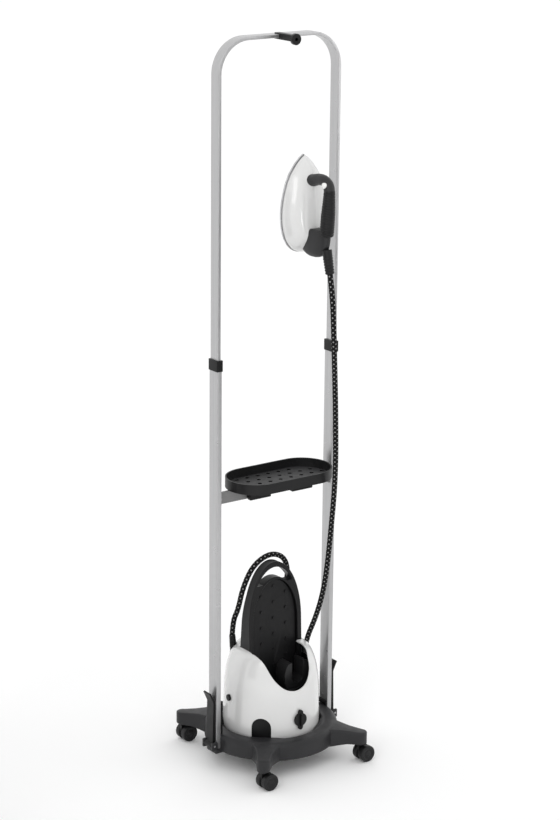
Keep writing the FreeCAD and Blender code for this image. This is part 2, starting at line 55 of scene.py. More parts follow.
# ------------------------------------------------------------------ materials
def new_material(name, color, rough, metallic=0.0, coat=0.0, coat_rough=0.1, spec=0.5):
    mat = bpy.data.materials.new(name)
    mat.use_nodes = True
    bsdf = mat.node_tree.nodes["Principled BSDF"]
    bsdf.inputs["Base Color"].default_value = (*color, 1.0)
    bsdf.inputs["Roughness"].default_value = rough
    bsdf.inputs["Metallic"].default_value = metallic
    bsdf.inputs["Coat Weight"].default_value = coat
    bsdf.inputs["Coat Roughness"].default_value = coat_rough
    bsdf.inputs["Specular IOR Level"].default_value = spec
    return mat, mat.node_tree.nodes, mat.node_tree.links, bsdf


def noise(nodes, links, scale, detail=3.0, stretch=(1, 1, 1)):
    """Noise texture in the object's own coordinates, stretched along its axes."""
    co = nodes.new("ShaderNodeTexCoord")
    mp = nodes.new("ShaderNodeMapping")
    mp.inputs["Scale"].default_value = stretch
    tex = nodes.new("ShaderNodeTexNoise")
    tex.inputs["Scale"].default_value = scale
    tex.inputs["Detail"].default_value = detail
    links.new(co.outputs["Object"], mp.inputs["Vector"])
    links.new(mp.outputs["Vector"], tex.inputs["Vector"])
    return tex


def ramp_to(nodes, links, tex, low, high, socket, lo=0.3, hi=0.7):
    """A noise's value, from lo to hi, drives a socket between two values or two colours."""
    if isinstance(low, tuple):
        r = nodes.new("ShaderNodeValToRGB")
        r.color_ramp.elements[0].position, r.color_ramp.elements[1].position = lo, hi
        r.color_ramp.elements[0].color, r.color_ramp.elements[1].color = (*low, 1), (*high, 1)
        links.new(tex.outputs["Fac"], r.inputs["Fac"])
        links.new(r.outputs["Color"], socket)
    else:
        links.new(map_range(nodes, links, tex.outputs["Fac"], lo, hi, low, high), socket)


def bump(nodes, links, bsdf, heights):
    """Bump from a list of (height socket, strength, distance), chained."""
    last = None
    for height, strength, distance in heights:
        b = nodes.new("ShaderNodeBump")
        b.inputs["Strength"].default_value = strength
        b.inputs["Distance"].default_value = distance
        links.new(height, b.inputs["Height"])
        if last:
            links.new(last.outputs["Normal"], b.inputs["Normal"])
        last = b
    links.new(last.outputs["Normal"], bsdf.inputs["Normal"])


def shade(color, k):
    return tuple(min(1.0, c * k) for c in color)


def plastic(name, color, rough, grain=1500.0, grain_depth=0.00006, tone=0.12, spec=0.5):
    """Moulded plastic: fine grain, slow drift in tone, roughness that varies with handling."""
    mat, nodes, links, bsdf = new_material(name, color, rough, spec=spec)
    drift = noise(nodes, links, 14.0, 4.0)
    ramp_to(nodes, links, drift, shade(color, 1 - tone), shade(color, 1 + tone),
            bsdf.inputs["Base Color"])
    wear = noise(nodes, links, 60.0, 5.0)
    ramp_to(nodes, links, wear, rough - 0.05, rough + 0.07, bsdf.inputs["Roughness"])
    fine = noise(nodes, links, grain, 2.0)
    wave = noise(nodes, links, 55.0, 1.0)
    bump(nodes, links, bsdf, [(fine.outputs["Fac"], 0.35, grain_depth),
                              (wave.outputs["Fac"], 0.06, 0.0005)])
    return mat


def gloss_white():
    """Glossy white ABS: clear coat, faint orange peel, very slight warm and cool drift."""
    mat, nodes, links, bsdf = new_material("gloss_white", (0.68, 0.68, 0.675), 0.2, coat=0.8,
                                           coat_rough=0.06)
    drift = noise(nodes, links, 9.0, 3.0)
    ramp_to(nodes, links, drift, (0.665, 0.665, 0.66), (0.695, 0.695, 0.69),
            bsdf.inputs["Base Color"])
    haze = noise(nodes, links, 120.0, 4.0)
    ramp_to(nodes, links, haze, 0.17, 0.24, bsdf.inputs["Roughness"])
    peel = noise(nodes, links, 420.0, 1.0)
    bump(nodes, links, bsdf, [(peel.outputs["Fac"], 0.06, 0.0002)])
    return mat


def brushed(name, color, rough, stretch, metallic=0.85, tone=0.07, fineness=900.0):
    """Anodised or brushed metal with fine drawn lines along its length."""
    mat, nodes, links, bsdf = new_material(name, color, rough, metallic=metallic)
    lines = noise(nodes, links, fineness, 2.0, stretch)
    ramp_to(nodes, links, lines, shade(color, 1 - tone), shade(color, 1 + tone),
            bsdf.inputs["Base Color"], 0.25, 0.75)
    smear = noise(nodes, links, 40.0, 3.0)
    ramp_to(nodes, links, smear, rough - 0.05, rough + 0.06, bsdf.inputs["Roughness"])
    bump(nodes, links, bsdf, [(lines.outputs["Fac"], 0.06, 0.00002)])
    return mat


def math_node(nodes, links, op, a, b=None, c=None):
    n = nodes.new("ShaderNodeMath")
    n.operation = op
    for i, v in enumerate((a, b, c)):
        if v is None:
            continue
        if isinstance(v, (int, float)):
            n.inputs[i].default_value = v
        else:
            links.new(v, n.inputs[i])
    return n.outputs[0]


def map_range(nodes, links, value, lo, hi, low, high):
    n = nodes.new("ShaderNodeMapRange")
    for key, v in (("From Min", lo), ("From Max", hi), ("To Min", low), ("To Max", high)):
        n.inputs[key].default_value = v
    links.new(value, n.inputs["Value"])
    return n.outputs["Result"]


def braid():
    """Black textile braid: crossing strands, pale flecks on a diamond lattice, painted shade in grooves."""
    mat, nodes, links, bsdf = new_material("hose_braid", (0.01, 0.01, 0.01), 0.8, spec=0.15)
    uv = nodes.new("ShaderNodeUVMap")
    uv.uv_map = "UVMap"
    sep = nodes.new("ShaderNodeSeparateXYZ")
    links.new(uv.outputs["UV"], sep.inputs["Vector"])
    around, along = sep.outputs["X"], sep.outputs["Y"]

    def m(*args):
        return math_node(nodes, links, *args)

    def lattice(op, count, pitch):
        return m(op, m("MULTIPLY", around, count), m("MULTIPLY", along, 1 / pitch))

    a = m("ABSOLUTE", m("SUBTRACT", m("FRACT", lattice("ADD", 3.0, FLECK_PITCH)), 0.5))
    b = m("ABSOLUTE", m("SUBTRACT", m("FRACT", lattice("SUBTRACT", 3.0, FLECK_PITCH)), 0.5))
    fleck = map_range(nodes, links, m("MAXIMUM", a, b), 0.15, 0.20, 1.0, 0.0)
    strand = m("SINE", m("MULTIPLY", lattice("ADD", 12.0, FLECK_PITCH / 4), 6.2832))
    cross = m("SINE", m("MULTIPLY", lattice("SUBTRACT", 12.0, FLECK_PITCH / 4), 6.2832))
    weave = m("MAXIMUM", strand, cross)
    base = nodes.new("ShaderNodeMix")
    base.data_type = "RGBA"
    base.inputs["A"].default_value = (0.006, 0.006, 0.0065, 1)
    base.inputs["B"].default_value = (0.36, 0.36, 0.355, 1)
    links.new(fleck, base.inputs["Factor"])
    # painted shade: the colour is multiplied darker where the crossing strands dip, in the grooves between
    # them
    groove_shade = nodes.new("ShaderNodeMix")
    groove_shade.data_type, groove_shade.blend_type = "RGBA", "MULTIPLY"
    groove_shade.inputs["Factor"].default_value = 0.8
    links.new(base.outputs["Result"], groove_shade.inputs["A"])
    links.new(map_range(nodes, links, weave, -1.0, 1.0, 0.35, 1.0), groove_shade.inputs["B"])
    links.new(groove_shade.outputs["Result"], bsdf.inputs["Base Color"])
    fuzz = noise(nodes, links, 2600.0, 3.0)
    bump(nodes, links, bsdf, [(weave, 0.5, 0.0003), (fuzz.outputs["Fac"], 0.4, 0.0001)])
    return mat


MAT = {
    "charcoal": plastic("charcoal_plastic", (0.019, 0.019, 0.0205), 0.42, tone=0.10, spec=0.3),
    "black": plastic("black_plastic", (0.005, 0.005, 0.0054), 0.36, tone=0.12, spec=0.22),
    "frame": plastic("handle_plastic", (0.0065, 0.0065, 0.007), 0.36, tone=0.12, spec=0.22),
    "heel": plastic("heel_plastic", (0.022, 0.022, 0.023), 0.42, tone=0.08, spec=0.3),
    "pad": plastic("pad_rubber", (0.006, 0.006, 0.0065), 0.48, 900.0, 0.0001, 0.15, spec=0.25),
    "cradle": plastic("cradle_plastic", (0.013, 0.013, 0.0135), 0.36, tone=0.12, spec=0.35),
    "trayfloor": plastic("tray_floor_plastic", (0.04, 0.04, 0.041), 0.5, tone=0.10, spec=0.3),
    # painted shade: near-black, less glossy plastic for the tray's recessed well
    "well_shade": plastic("tray_well_painted_shade", (0.003, 0.003, 0.003), 0.6, tone=0.10, spec=0.1),
    "grip": plastic("grip_rubber", (0.011, 0.011, 0.0115), 0.42, 1200.0, 0.00008, 0.15, spec=0.22),
    "tread": plastic("castor_tread", (0.008, 0.008, 0.0085), 0.46, 900.0, 0.0001, 0.15, spec=0.3),
    "trayrim": plastic("tray_plastic", (0.0085, 0.0085, 0.009), 0.4, tone=0.10, spec=0.26),
    "white": gloss_white(),
    "button": plastic("white_button", (0.80, 0.80, 0.79), 0.25, tone=0.02),
    "alu": brushed("anodised_aluminium", (0.47, 0.47, 0.475), 0.32, (1, 1, 0.012), 0.8, 0.05, 260.0),
    "bar": brushed("grey_bar", (0.20, 0.20, 0.20), 0.42, (0.012, 1, 1), 0.25),
    "steel": brushed("steel", (0.45, 0.45, 0.46), 0.3, (1, 0.05, 1), 1.0),
    "sole": brushed("sole_metal", (0.56, 0.56, 0.57), 0.22, (1, 1, 0.02), 1.0),
    "cast": brushed("boiler_metal", (0.5, 0.5, 0.5), 0.5, (1, 1, 1), 0.9),
    "tank": plastic("tank_plastic", (0.6, 0.62, 0.64), 0.35, tone=0.05),
    "board": plastic("board_green", (0.03, 0.18, 0.07), 0.5, tone=0.1),
    "braid": braid(),
}
SLOT_MAT = {"charcoal_plastic": "charcoal", "castor_tread": "tread", "steel": "steel",
            "anodised_aluminium": "alu", "grey_bar": "bar", "black_plastic": "black",
            "pad_rubber": "pad", "white_gloss": "white", "white_button": "button",
            "boiler_metal": "cast", "tank_plastic": "tank", "pump_plastic": "black",
            "board_green": "board", "sole_metal": "sole", "hose_braid": "braid"}
for sub in frame["record"]["subparts"]:
    obj = frame["nodes"][sub["node"]]
    obj.data.materials.clear()
    obj.data.materials.append(MAT[SLOT_MAT[sub["material_slot"]]])


# ------------------------------------------------------------------ mesh helpers
def add_object(name, verts, faces, body, mat, slot, replaces=()):
    """A smooth-shaded mesh object that rides on a body and stands for CAD nodes."""
    mesh = bpy.data.meshes.new(name)
    mesh.from_pydata([tuple(v) for v in verts], [], [tuple(f) for f in faces])
    mesh.validate()
    mesh.update()
    obj = bpy.data.objects.new(name, mesh)
    bpy.context.scene.collection.objects.link(obj)
    mesh.materials.append(MAT[mat])
    mesh.shade_smooth()
    if body:
        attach(obj, body)
    if replaces:
        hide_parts(*replaces)
    return obj


def frames_along(points):
    """A smooth set of side vectors along a path, with no twist."""
    pts = [Vector(p) for p in points]
    tang = [(pts[min(i + 1, len(pts) - 1)] - pts[max(i - 1, 0)]).normalized()
            for i in range(len(pts))]
    side = tang[0].orthogonal().normalized()
    out = []
    for t in tang:
        side = (side - t * side.dot(t)).normalized()
        out.append((t, side, t.cross(side)))
    return pts, out


def tube_data(points, radii, segs, relief=None):
    """Vertices, faces and UVs of a closed tube round a path."""
    pts, frames_ = frames_along(points)
    verts, uvs, dist = [], [], 0.0
    for i, (p, (t, u, w)) in enumerate(zip(pts, frames_)):
        dist += (p - pts[i - 1]).length if i else 0.0
        for k in range(segs):
            a = 2 * math.pi * k / segs
            r = radii[i] + (relief(k / segs, dist) if relief else 0.0)
            verts.append(p + (u * math.cos(a) + w * math.sin(a)) * r)
            uvs.append((k / segs, dist))
    faces, corner = [], []
    for i in range(len(pts) - 1):
        for k in range(segs):
            n = (k + 1) % segs
            faces.append((i * segs + k, i * segs + n, (i + 1) * segs + n, (i + 1) * segs + k))
            u0, u1 = k / segs, (k + 1) / segs
            v0, v1 = uvs[i * segs][1], uvs[(i + 1) * segs][1]
            corner += [(u0, v0), (u1, v0), (u1, v1), (u0, v1)]
    for base in (0, (len(pts) - 1) * segs):
        loop = list(range(base, base + segs))
        faces.append(loop[::-1] if base == 0 else loop)
        corner += [(0.5, uvs[base][1])] * segs
    return verts, faces, corner


def tube(name, points, radii, segs, body, mat, relief=None, **kw):
    if not hasattr(radii, "__len__"):
        radii = [radii] * len(points)
    verts, faces, corner = tube_data(points, radii, segs, relief)
    obj = add_object(name, verts, faces, body, mat, **kw)
    layer = obj.data.uv_layers.new(name="UVMap")
    for loop, uv in zip(layer.data, corner):
        loop.uv = uv
    return obj


# ------------------------------------------------------------------ steam hose
HOSE_ROUTE = [(-78, 55, 303), (-82, 46, 344), (-77, 32, 374), (-68, 26, 430), (-38, 26, 482),
              (14, 26, 504), (64, 32, 478), (82, 48, 412), (76, 84, 350), (68, 120, 290),
              (60, 146, 228), (64, 150, 158), (104, 106, 122), (134, 52, 150), (116, 22, 250),
              (123, -20, 340), (126, -46, 430), (117, -76, 570), (110, -100, 715),
              (80, -135, 880), (51, -166, 1005), (31, -187, 1095), (25, -188.5, 1178),
              (25, -177.1, 1225.6)]
HOSE_D = 0.013
STRAND_PITCH = 0.0061          # length of one turn of the fine strands


def spline_points(route, resolution):
    """Points along the smooth NURBS line of a route, in metres."""
    curve = bpy.data.curves.new("hose_line", "CURVE")
    curve.dimensions = "3D"
    curve.resolution_u = resolution
    sp = curve.splines.new("NURBS")
    sp.points.add(len(route) - 1)
    for point, (x, y, z) in zip(sp.points, route):
        point.co = (x / 1000, y / 1000, z / 1000, 1)
    sp.order_u = 3
    sp.use_endpoint_u = True
    holder = bpy.data.objects.new("hose_line", curve)
    mesh = bpy.data.meshes.new_from_object(holder)
    pts = [v.co.copy() for v in mesh.vertices]
    bpy.data.objects.remove(holder)
    bpy.data.curves.remove(curve)
    bpy.data.meshes.remove(mesh)
    return pts


def even(points, step):
    """The same line with points a fixed step apart."""
    pts = np.array([tuple(p) for p in points])
    seg = np.linalg.norm(np.diff(pts, axis=0), axis=1)
    s = np.concatenate([[0], np.cumsum(seg)])
    n = max(2, int(round(s[-1] / step)) + 1)
    t = np.linspace(0, s[-1], n)
    return [Vector((np.interp(v, s, pts[:, 0]), np.interp(v, s, pts[:, 1]),
                    np.interp(v, s, pts[:, 2]))) for v in t], float(s[-1])


def braid_relief(u, v):
    """Height of the crossing strands, in metres, round and along the hose."""
    k = 2 * math.pi
    strand = math.sin(k * (8 * u + v / STRAND_PITCH))
    cross = math.sin(k * (8 * u - v / STRAND_PITCH))
    return 0.00022 * max(strand, cross)


line, hose_length = even(spline_points(HOSE_ROUTE, 24), 0.0015 if FINE else 0.004)
hose = tube("steam_hose_braid", line, HOSE_D / 2 - 0.0002, 32 if FINE else 16, None, "braid",
            relief=braid_relief, slot="hose_braid", replaces=("steam_hose",))
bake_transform(hose)

# ------------------------------------------------------------------ shaping helpers
def mm(*v):
    return Vector(v) / 1000.0


EDGE_ANGLE, SHARP_ANGLE = math.radians(35), math.radians(40)


def soften(node, width, mat, segs=2):
    """A copy of a CAD part with its sharp edges rounded, standing for that part."""
    src = frame["nodes"][node]
    obj = bpy.data.objects.new(node + "_form", src.data.copy())
    obj.data.name = obj.name
    bpy.context.scene.collection.objects.link(obj)
    bm = bmesh.new()
    bm.from_mesh(obj.data)
    bmesh.ops.remove_doubles(bm, verts=bm.verts, dist=2e-5)
    bmesh.ops.dissolve_limit(bm, angle_limit=math.radians(1.5), verts=bm.verts, edges=bm.edges)
    bm.to_mesh(obj.data)
    bm.free()
    if width:
        obj.data.shade_smooth()
        obj.data.set_sharp_from_angle(angle=SHARP_ANGLE)
        mod = obj.modifiers.new("round", "BEVEL")
        mod.harden_normals = True
        mod.width, mod.segments = width / 1000, segs
        mod.limit_method, mod.angle_limit = "ANGLE", EDGE_ANGLE
        mod.use_clamp_overlap = True
        dg = bpy.context.evaluated_depsgraph_get()
        mesh = bpy.data.meshes.new_from_object(obj.evaluated_get(dg))
        obj.modifiers.clear()
        obj.data = mesh
    obj.data.materials.clear()
    obj.data.materials.append(MAT[mat])
    if not width:
        obj.data.shade_smooth()
        obj.data.set_sharp_from_angle(angle=SHARP_ANGLE)
    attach(obj, BODY_OF[node])
    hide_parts(node)
    return obj


def round_profile(pts, radius, steps=4):
    """A polyline in 2-D with its inner corners rounded."""
    out = [tuple(pts[0])]
    for a, b, c in zip(pts, pts[1:], pts[2:]):
        a, b, c = Vector(a), Vector(b), Vector(c)
        u, w = (a - b), (c - b)
        cut = min(radius, 0.48 * u.length, 0.48 * w.length)
        p, q = b + u.normalized() * cut, b + w.normalized() * cut
        for k in range(steps + 1):
            t = k / steps
            out.append(tuple(p * (1 - t) ** 2 + b * 2 * t * (1 - t) + q * t * t))
    return out + [tuple(pts[-1])]


def lathe_data(profile, origin, axis, segs):
    """Vertices and faces of a solid turned about an axis; profile is (radius, height) in mm."""
    axis = Vector(axis).normalized()
    side = axis.orthogonal().normalized()
    other = axis.cross(side)
    verts, faces = [], []
    for r, h in profile:
        for k in range(segs):
            a = 2 * math.pi * k / segs
            verts.append(mm(*origin) + (axis * h + (side * math.cos(a) + other * math.sin(a)) * r)
                         / 1000)
    for i in range(len(profile) - 1):
        for k in range(segs):
            n = (k + 1) % segs
            faces.append((i * segs + k, i * segs + n, (i + 1) * segs + n, (i + 1) * segs + k))
    faces.append(tuple(range(segs))[::-1])
    faces.append(tuple(range((len(profile) - 1) * segs, len(profile) * segs)))
    return verts, faces


def loft_data(rings):
    """Vertices and faces of a closed skin through rings of equal count."""
    n = len(rings[0])
    verts = [v for ring in rings for v in ring]
    faces = [(i * n + k, i * n + (k + 1) % n, (i + 1) * n + (k + 1) % n, (i + 1) * n + k)
             for i in range(len(rings) - 1) for k in range(n)]
    faces.append(tuple(range(n))[::-1])
    faces.append(tuple(range((len(rings) - 1) * n, len(rings) * n)))
    return verts, faces


def merge(shapes):
    verts, faces = [], []
    for v, f in shapes:
        faces += [tuple(i + len(verts) for i in face) for face in f]
        verts += list(v)
    return verts, faces


def piece(name, shapes, body, mat, node=None, slot=None, sharp=40.0):
    """One object from closed shapes, its normals turned outwards, riding on a body."""
    verts, faces = merge(shapes)
    obj = add_object(name, verts, faces, body, mat, slot=slot or SLOT_OF[node],
                     replaces=(node,) if node else ())
    bm = bmesh.new()
    bm.from_mesh(obj.data)
    bmesh.ops.recalc_face_normals(bm, faces=bm.faces)
    bm.to_mesh(obj.data)
    bm.free()
    obj.data.shade_smooth()
    obj.data.set_sharp_from_angle(angle=math.radians(sharp))
    return obj


def rounded_ring(half, low, high, radius, steps=4):
    """Points (y, z) round a rectangle with rounded corners."""
    radius = min(radius, half * 0.98, (high - low) * 0.49)
    pts = []
    for cy, cz, a0 in ((half - radius, low + radius, -90), (half - radius, high - radius, 0),
                       (-half + radius, high - radius, 90), (-half + radius, low + radius, 180)):
        for k in range(steps + 1):
            a = math.radians(a0 + 90 * k / steps)
            pts.append((cy + radius * math.cos(a), cz + radius * math.sin(a)))
    return pts


def block(x0, x1, y0, y1, z0, z1, r):
    """Box with all its edges rounded."""
    cy, cz, hy, hz = (y0 + y1) / 2, (z0 + z1) / 2, (y1 - y0) / 2, (z1 - z0) / 2
    rings = []
    steps = 3
    stations = [(x0 + r - r * math.cos(math.radians(90 * k / steps)),
                 r - r * math.sin(math.radians(90 * k / steps))) for k in range(steps + 1)]
    stations += [(x0 + x1 - x, inset) for x, inset in reversed(stations)]
    for x, inset in stations:
        ring = rounded_ring(hy - inset, -hz + inset, hz - inset, max(r - inset, 0.2) + 0.3)
        rings.append([mm(x, cy + y, cz + z) for y, z in ring])
    return loft_data(rings)


BODY_OF = {n: b for b, nodes_ in frame["record"]["behaviour"]["bodies"].items() for n in nodes_}
SLOT_OF = {sub["node"]: sub["material_slot"] for sub in frame["record"]["subparts"]}
ROUND = 96 if FINE else 48

# ------------------------------------------------------------------ rolling base
STEM_X, STEM_Y, ARM_R = 144.0, 172.0, 16.0
TRAIL, WHEEL_GAP, WHEEL_R = 11.0, 11.5, 20.5      # axle from stem, wheel from fork, radius
REACH = math.hypot(STEM_X, STEM_Y)
ring_profile = round_profile([(0.5, 40.5), (153, 40.5), (162, 45), (162, 79), (158, 86), (150, 88),
                              (131, 88), (126, 86.5), (124, 82), (124, 48), (0.5, 48)], 3.5)
base_shapes = [lathe_data(ring_profile, (0, 0, 0), (0, 0, 1), 2 * ROUND)]
ARM_SECTIONS = [(118, 47, 41, 86), (150, 37.5, 41, 86), (160, 32, 41.2, 85.6), (176, 25, 43.2, 84),
                (196, 19.5, 46.2, 81.4), (REACH, ARM_R, 46.2, 78)]
for sx in (-1, 1):
    for sy in (-1, 1):
        ang = math.atan2(sy * STEM_Y, sx * STEM_X)
        stations = list(ARM_SECTIONS)
        for k in range(1, 7):
            a = math.radians(14 * k)
            drop = 1.6 * (1 - math.cos(a))
            stations.append((REACH + ARM_R * math.sin(a), ARM_R * math.cos(a), 46.2 + drop,
                             78 - drop))
        rings = []
        for x, w, z0, z1 in stations:
            rings.append([mm(x * math.cos(ang) - y * math.sin(ang),
                             x * math.sin(ang) + y * math.cos(ang), z)
                          for y, z in rounded_ring(w, z0, z1, 4.5)])
        base_shapes.append(loft_data(rings))
# post sockets, hinge blocks and the levers' hinge lugs
for s_ in (-1, 1):
    xs = sorted((s_ * 146, s_ * 170.5))
    base_shapes.append(block(*xs, -15.5, 15.5, 40.5, 78, 3))
    xs = sorted((s_ * 150, s_ * 176))
    base_shapes.append(block(*xs, -20, 20, 40.5, 51.5, 3))
    xs = sorted((s_ * 170, s_ * 188))
    for y0 in (-22.0, 15.0):
        base_shapes.append(block(*xs, y0, y0 + 7, 50, 72, 3))
piece("base_ring_body", base_shapes, "rack", "charcoal", "base_ring")

wheel_profile = round_profile([(0.5, -7.2), (6.5, -7.2), (7.5, -5.8), (12.5, -5.8), (13.5, -7.4),
                               (19.0, -7.4), (20.5, -5.8), (20.5, 5.8), (19.0, 7.4), (13.5, 7.4),
                               (12.5, 5.8), (7.5, 5.8), (6.5, 7.2), (0.5, 7.2)], 1.4, 3)
for tag, sx, sy in (("fl", -1, -1), ("fr", 1, -1), ("rl", -1, 1), ("rr", 1, 1)):
    ax, ay = sx * STEM_X + TRAIL, sy * STEM_Y
    pair = [lathe_data(wheel_profile, (ax, ay + d * WHEEL_GAP, WHEEL_R), (0, 1, 0), ROUND // 2)
            for d in (-1, 1)]
    piece("castor_wheels_" + tag, pair, "wheels_" + tag, "tread", "caster_wheels_" + tag)
    soften("caster_fork_" + tag, 1.2, "black")
POST_X, POST_HALF_T, POST_HALF_D, POST_R = 165.65, 6.35, 16.65, 1.2
POST_LEVELS = ((52.0, 0.97), (52.4, 1.0), (400, 1.0), (700, 1.0), (1009.6, 1.0), (1010, 0.97))
for side_name, s_ in (("left", -1), ("right", 1)):
    soften("foot_lever_" + side_name, 1.5, "black")
    soften("guard_plate_" + side_name, 1.0, "black")
    post_rings = [[mm(s_ * POST_X + across * k, deep * k, z) for across, deep in
                   rounded_ring(POST_HALF_T, -POST_HALF_D, POST_HALF_D, POST_R)]
                  for z, k in POST_LEVELS]
    piece("post_form_" + side_name, [loft_data(post_rings)], "rack", "alu", "post_" + side_name)
    soften("post_collar_" + side_name, 1.0, "black")

# ------------------------------------------------------------------ hoop, bar and tray
soften("upper_hoop", 0.0, "alu")
soften("hanger_peg", 1.0, "black")
soften("crossbar", 0.8, "bar")
TRAY_X, TRAY_Y, TRAY_STRAIGHT = 8, -12, 69      # middle of the tray and half its straight part
FLOOR_REACH, WELL_BOTTOM, FLOOR_LOW, FLOOR_HIGH = 66.0, 695.3, 697.2, 698.3
tray_form = soften("tray", 1.1, "trayrim", 3)
for extra in ("trayfloor", "well_shade"):
    tray_form.data.materials.append(MAT[extra])
# up-facing floor faces get the lighter grey; the well's bottom and the walls in the recess get painted
# shade
for face in tray_form.data.polygons:
    x, y, z = face.center * 1000
    inside = math.hypot(max(abs(x - TRAY_X) - TRAY_STRAIGHT, 0), y - TRAY_Y) < FLOOR_REACH
    if inside and WELL_BOTTOM < z < FLOOR_HIGH:
        face.material_index = 1 if z > FLOOR_LOW and face.normal.z > 0.6 else 2
soften("tray_clips", 2.0, "black", 3)

# ------------------------------------------------------------------ generator
soften("front_panel", 0.8, "black")
soften("handle_frame", 2.6, "frame", 3)
soften("rest_pad", 1.1, "pad")
soften("heel_cradle", 3.4, "cradle", 4)
soften("drain_cap", 1.3, "black", 3)
soften("side_button", 1.6, "black", 3)
soften("mains_inlet", 1.0, "black")

SHELL_RZ = [(113.0, 56.0), (117.5, 93.0), (116.8, 133.0), (115.0, 185.0), (112.4, 211.0),
            (107.6, 237.0), (100.0, 260.0), (95.0, 270.0), (88.0, 277.5), (79.0, 281.8),
            (70.0, 283.5)]
SCOOP = [(-77.5, 279), (-72, 268), (-63, 238), (-52, 219), (-36, 204), (-16, 197), (4, 198),
         (24, 207), (39, 224), (47, 245), (49, 264), (56, 280)]


def catmull(pts, steps):
    """A smooth line through 2-D points."""
    ext = [tuple(2 * a - b for a, b in zip(pts[0], pts[1]))] + list(pts)
    ext.append(tuple(2 * a - b for a, b in zip(pts[-1], pts[-2])))
    out = []
    for p0, p1, p2, p3 in zip(ext, ext[1:], ext[2:], ext[3:]):
        for k in range(steps):
            t = k / steps
            out.append(tuple(0.5 * (2 * b + (c - a) * t + (2 * a - 5 * b + 4 * c - d) * t * t
                                    + (3 * b - a - 3 * c + d) * t ** 3)
                             for a, b, c, d in zip(p0, p1, p2, p3)))
    return out + [tuple(pts[-1])]


def shell_radius(z):
    zs = [p[1] for p in SHELL_RZ]
    return float(np.interp(z, zs, [p[0] for p in SHELL_RZ]))


lip = []
for x, z in catmull(SCOOP, 10):
    r = shell_radius(z) - 1.5
    lip.append(mm(x, -math.sqrt(max(r * r - x * x, 22.6 ** 2)), z - 0.6))
lip += [mm(57.5, -50, 281.6), mm(58, -36, 282.0), mm(58, -24, 282.0)]
lip_line, _ = even(lip, 0.003)
tube("shell_lip", lip_line, 0.00205, 12, "generator", "white", slot="white_gloss")


def ribbed(name, a, b, r0, r1, ribs, start, body, node):
    """Strain relief: a taper with rounded ribs from start to its end."""
    a, b = Vector(a), Vector(b)
    length = (b - a).length
    profile = [(0.5, 0), (r0 * 0.9, 0)]
    for k in range(60):
        t = 0.02 + 0.96 * k / 59
        r = r0 + (r1 - r0) * t
        if t > start:
            wave = math.cos((t - start) / (1 - start) * ribs * 2 * math.pi)
            r += 1.5 * (0.5 - 0.5 * wave) ** 0.6 - 0.7
        profile.append((r, t * length))
    profile += [(r1 - 0.9, length), (0.5, length)]
    return piece(name, [lathe_data(profile, tuple(a), tuple(b - a), 40)], body, "grip", node)


ribbed("outlet_strain_relief", (-66, 64, 240), (-78, 55, 303), 9.0, 6.9, 8, 0.45, "generator",
       "outlet_boot")
ribbed("iron_strain_relief", (25, -164, 1280), (25, -177, 1226), 11.4, 9.9, 6, 0.3, "iron",
       "iron_boot")

# ------------------------------------------------------------------ iron
IRON_X, SOLE_Y = 25.0, -66.0
IRON_HALF = [(0, 1485), (10, 1478), (24, 1463), (43, 1434), (56, 1394), (61.5, 1352), (59, 1320),
             (50, 1291), (34, 1270), (15, 1260.5), (0, 1259)]
half = catmull(IRON_HALF, 5)
outline = half + [(-x, z) for x, z in reversed(half[1:-1])]
DOME = [(0.975, -7.9, 1345), (0.985, -9.5, 1345), (0.983, -12.0, 1345), (0.968, -15.0, 1344),
        (0.925, -20.5, 1342), (0.86, -27.5, 1339), (0.77, -34.8, 1335), (0.66, -41.0, 1331),
        (0.53, -46.5, 1327), (0.40, -50.2, 1322), (0.26, -52.4, 1320), (0.12, -53.2, 1319),
        (0.01, -53.3, 1319)]


def ridge(x, z):
    """Raised spine down the middle of the shell, from the handle's post to the heel."""
    return 2.6 * math.exp(-(x / 9.0) ** 2) * min(1.0, max(0.0, (1452 - z) / 25.0))


dome_rings = []
for k, dy, zc in catmull(DOME, 2):
    dome_rings.append([mm(IRON_X + x * k, SOLE_Y + dy - ridge(x * k, zc + (z - zc) * k)
                          * min(1.0, max(0.0, (0.97 - k) / 0.2)),
                          zc + (z - zc) * k) for x, z in outline])
piece("iron_shell_body", [loft_data(dome_rings)], "iron", "white", "iron_shell", sharp=60)
soften("soleplate", 0.8, "sole")
HEEL_RINGS = [(1257.2, 7.0, -113, -131), (1258.6, 11.0, -105, -138), (1261.5, 14.0, -96, -145),
              (1266, 16.6, -87, -153), (1272, 18.0, -80.5, -159.5), (1280, 18.7, -78, -165),
              (1290, 19.0, -78, -168.6), (1302, 19.0, -78, -170.8), (1314, 19.0, -78, -171.8),
              (1318.5, 18.3, -79, -171.0), (1321.2, 16.6, -81.5, -168.6), (1322.3, 13.5, -86, -165)]
HEEL_TAPER, HEEL_SQUARE = 0.3, 0.72       # narrowing to the rear, and how square the rings are
heel_rings = []
for z, half_w, front, rear in HEEL_RINGS:
    ring = []
    for k in range(48):
        a = 2 * math.pi * k / 48
        c, s_ = math.cos(a), math.sin(a)
        x = half_w * math.copysign(abs(c) ** HEEL_SQUARE, c)
        back_ = 0.5 + 0.5 * math.copysign(abs(s_) ** HEEL_SQUARE, s_)
        ring.append(mm(IRON_X + x * (1 - HEEL_TAPER * back_ ** 2), front + (rear - front) * back_, z))
    heel_rings.append(ring)
piece("iron_heel_form", [loft_data(heel_rings)], "iron", "heel", "iron_heel", sharp=60)

